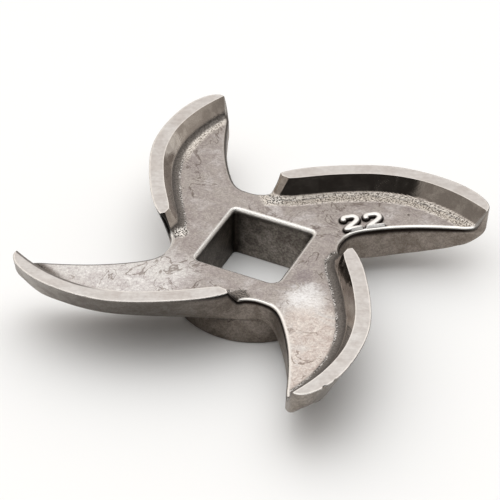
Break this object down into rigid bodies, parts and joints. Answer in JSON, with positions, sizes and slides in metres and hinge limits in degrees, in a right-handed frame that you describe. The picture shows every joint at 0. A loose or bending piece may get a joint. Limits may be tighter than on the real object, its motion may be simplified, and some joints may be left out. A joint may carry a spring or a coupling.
{
  "type": "meat grinder knife",
  "caption": "Sickle-bladed rotary knife with raised ground cutting lands, a round hub boss at the back and a square drive hole.",
  "frame": {"origin": "centre of the hub's back face, on the turning axis", "axes": "+Z along the turning axis from the hub's back to the cutting lands; +X and +Y square to the sides of the drive hole, with the numbered blade sweeping between them"},
  "size_m": [0.0616, 0.0616, 0.0118],
  "materials": {
    "cast_steel": "satin stainless casting with ground lands"
  },
  "bodies": {
    "root": {"grinder_knife": "cast_steel"}
  },
  "joints": []
}
